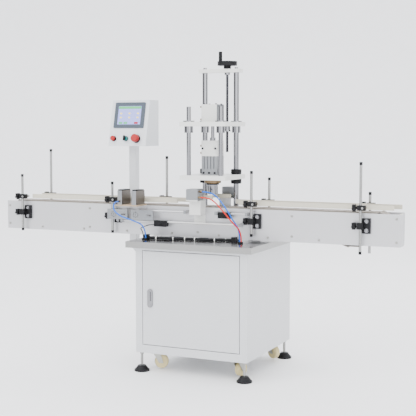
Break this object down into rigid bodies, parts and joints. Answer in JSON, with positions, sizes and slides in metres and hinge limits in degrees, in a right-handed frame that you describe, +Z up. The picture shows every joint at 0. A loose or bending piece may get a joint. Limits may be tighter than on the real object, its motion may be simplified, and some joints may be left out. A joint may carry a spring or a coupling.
{
  "type": "capping machine",
  "caption": "In-line bottle capping machine: a steel cabinet on feet and castors carries a slat conveyor, a height-adjustable capping head, stops, clamps and a control box",
  "frame": {"origin": "on the floor, at the centre of the four levelling feet", "axes": "X along the conveyor to the outfeed, Y to the back, Z up"},
  "size_m": [2.008, 0.624, 1.4764],
  "materials": {
    "cabinet_paint": "satin",
    "stainless": "brushed",
    "light_paint": "satin",
    "chrome_steel": "polished",
    "black_plastic": "matte",
    "dark_steel": "oiled",
    "milky_plate": "satin",
    "aluminium_body": "satin",
    "chuck_metal": "satin",
    "chain_plastic": "matte",
    "rail_plastic": "matte",
    "castor_plastic": "satin",
    "fork_zinc": "satin",
    "box_paint": "satin",
    "screen_plastic": "matte",
    "red_plastic": "gloss",
    "teal_plastic": "gloss",
    "blue_tube": "gloss",
    "red_tube": "gloss",
    "cable_jacket": "matte"
  },
  "bodies": {
    "machine": {"cabinet_shell": "cabinet_paint", "box_post": "cabinet_paint", "table_top": "stainless", "rail_posts": "stainless", "foot_studs": "stainless", "castor_plates": "stainless", "door_hinge_pins": "stainless", "side_plates": "light_paint", "conveyor_crossbars": "light_paint", "electrics": "light_paint", "cylinder_brackets": "light_paint", "back_columns": "chrome_steel", "rail_clamps": "black_plastic", "foot_pads": "black_plastic", "sensors": "black_plastic", "table_grommets": "black_plastic", "top_bar": "milky_plate", "air_cylinders": "aluminium_body", "gear_motor": "aluminium_body", "slat_chain": "chain_plastic", "guide_rails": "rail_plastic", "control_box": "box_paint", "touch_screen": "screen_plastic", "stop_air_tube": "blue_tube", "clamp_air_tube": "blue_tube", "red_air_tube": "red_tube", "sensor_cable": "cable_jacket", "cable_loom": "cable_jacket"},
    "door": {"cabinet_door": "cabinet_paint"},
    "latch": {"door_latch": "black_plastic"},
    "drive": {"drive_shaft": "chrome_steel"},
    "idler": {"idler_shaft": "chrome_steel"},
    "head": {"head_plate": "milky_plate", "head_bushings": "chrome_steel", "lift_cylinder": "milky_plate"},
    "wheel": {"handwheel": "black_plastic", "lead_screw": "dark_steel"},
    "grip": {"crank_grip": "black_plastic"},
    "stroke": {"tool_plate": "milky_plate", "guide_columns": "chrome_steel", "chuck_cylinder": "milky_plate", "spindle_housing": "aluminium_body", "column_bumpers": "black_plastic"},
    "chuck_body": {"chuck": "chuck_metal"},
    "front_jaw": {"front_clamp_jaw": "rail_plastic"},
    "rear_jaw": {"rear_clamp_jaw": "rail_plastic"},
    "stop_1": {"stop_rod_1": "chrome_steel"},
    "stop_2": {"stop_rod_2": "chrome_steel"},
    "stop_push": {"stop_button": "red_plastic"},
    "emergency_push": {"emergency_stop": "red_plastic"},
    "switch_turn": {"start_switch": "teal_plastic"},
    "fork_1": {"castor_fork_1": "fork_zinc"},
    "roller_1": {"castor_wheel_1": "castor_plastic"},
    "fork_2": {"castor_fork_2": "fork_zinc"},
    "roller_2": {"castor_wheel_2": "castor_plastic"},
    "fork_3": {"castor_fork_3": "fork_zinc"},
    "roller_3": {"castor_wheel_3": "castor_plastic"},
    "fork_4": {"castor_fork_4": "fork_zinc"},
    "roller_4": {"castor_wheel_4": "castor_plastic"}
  },
  "joints": [
    {"name": "door_swing", "type": "hinge", "parent": "machine", "child": "door", "pos_m": [0.233, -0.27, 0.345], "axis": [0, 0, 1], "range_deg": [0, 110]},
    {"name": "latch_turn", "type": "hinge", "parent": "door", "child": "latch", "pos_m": [-0.201, -0.276, 0.3455], "axis": [0, 1, 0], "range_deg": [0, 90]},
    {"name": "castor_swivel_1", "type": "hinge", "parent": "machine", "child": "fork_1", "pos_m": [-0.204, -0.204, 0.08], "axis": [0, 0, 1], "continuous": true},
    {"name": "castor_roll_1", "type": "hinge", "parent": "fork_1", "child": "roller_1", "pos_m": [-0.18333, -0.19648, 0.04], "axis": [-0.342, 0.9397, 0], "continuous": true},
    {"name": "castor_swivel_2", "type": "hinge", "parent": "machine", "child": "fork_2", "pos_m": [0.204, -0.204, 0.08], "axis": [0, 0, 1], "continuous": true},
    {"name": "castor_roll_2", "type": "hinge", "parent": "fork_2", "child": "roller_2", "pos_m": [0.20969, -0.18275, 0.04], "axis": [-0.9659, 0.2588, 0], "continuous": true},
    {"name": "castor_swivel_3", "type": "hinge", "parent": "machine", "child": "fork_3", "pos_m": [-0.204, 0.204, 0.08], "axis": [0, 0, 1], "continuous": true},
    {"name": "castor_roll_3", "type": "hinge", "parent": "fork_3", "child": "roller_3", "pos_m": [-0.2133, 0.22394, 0.04], "axis": [-0.9063, -0.4226, 0], "continuous": true},
    {"name": "castor_swivel_4", "type": "hinge", "parent": "machine", "child": "fork_4", "pos_m": [0.204, 0.204, 0.08], "axis": [0, 0, 1], "continuous": true},
    {"name": "castor_roll_4", "type": "hinge", "parent": "fork_4", "child": "roller_4", "pos_m": [0.22394, 0.1947, 0.04], "axis": [0.4226, 0.9063, 0], "continuous": true},
    {"name": "drive_spin", "type": "hinge", "parent": "machine", "child": "drive", "pos_m": [0.805, -0.05, 0.708], "axis": [0, 1, 0], "continuous": true},
    {"name": "idler_spin", "type": "hinge", "parent": "machine", "child": "idler", "pos_m": [-1.03, -0.05, 0.708], "axis": [0, 1, 0], "continuous": true},
    {"name": "head_height", "type": "slide", "parent": "machine", "child": "head", "axis": [0, 0, 1], "range_m": [-0.01, 0.1]},
    {"name": "handwheel_turn", "type": "hinge", "parent": "machine", "child": "wheel", "pos_m": [0.044, 0.04, 1.396], "axis": [0, 0, 1], "range_deg": [-360, 3600]},
    {"name": "grip_spin", "type": "hinge", "parent": "wheel", "child": "grip", "pos_m": [0.009, 0.04, 1.45], "axis": [0, 0, 1], "continuous": true},
    {"name": "head_stroke", "type": "slide", "parent": "head", "child": "stroke", "axis": [0, 0, 1], "range_m": [0, 0.05]},
    {"name": "chuck_spin", "type": "hinge", "parent": "stroke", "child": "chuck_body", "pos_m": [0.01, -0.05, 0.86], "axis": [0, 0, 1], "continuous": true},
    {"name": "front_jaw_slide", "type": "slide", "parent": "machine", "child": "front_jaw", "axis": [0, 1, 0], "range_m": [0, 0.025]},
    {"name": "rear_jaw_slide", "type": "slide", "parent": "machine", "child": "rear_jaw", "axis": [0, -1, 0], "range_m": [0, 0.025]},
    {"name": "stop_slide_1", "type": "slide", "parent": "machine", "child": "stop_1", "axis": [0, 1, 0], "range_m": [0, 0.045]},
    {"name": "stop_slide_2", "type": "slide", "parent": "machine", "child": "stop_2", "axis": [0, 1, 0], "range_m": [0, 0.045]},
    {"name": "stop_push", "type": "slide", "parent": "machine", "child": "stop_push", "axis": [0, 0.9756, -0.2197], "range_m": [0, 0.004], "stiffness_N_per_m": 300},
    {"name": "switch_turn", "type": "hinge", "parent": "machine", "child": "switch_turn", "pos_m": [-0.453, -0.04209, 1.06812], "axis": [0, -0.9756, 0.2197], "range_deg": [-45, 45]},
    {"name": "emergency_push", "type": "slide", "parent": "machine", "child": "emergency_push", "axis": [0, 0.9756, -0.2197], "range_m": [0, 0.004]}
  ],
  "couplings": [
    {"joint": "handwheel_turn", "follows": "head_height", "rad_per_m": 628.32},
    {"joint": "idler_spin", "follows": "drive_spin", "ratio": 1},
    {"joint": "rear_jaw_slide", "follows": "front_jaw_slide", "ratio": 1}
  ]
}
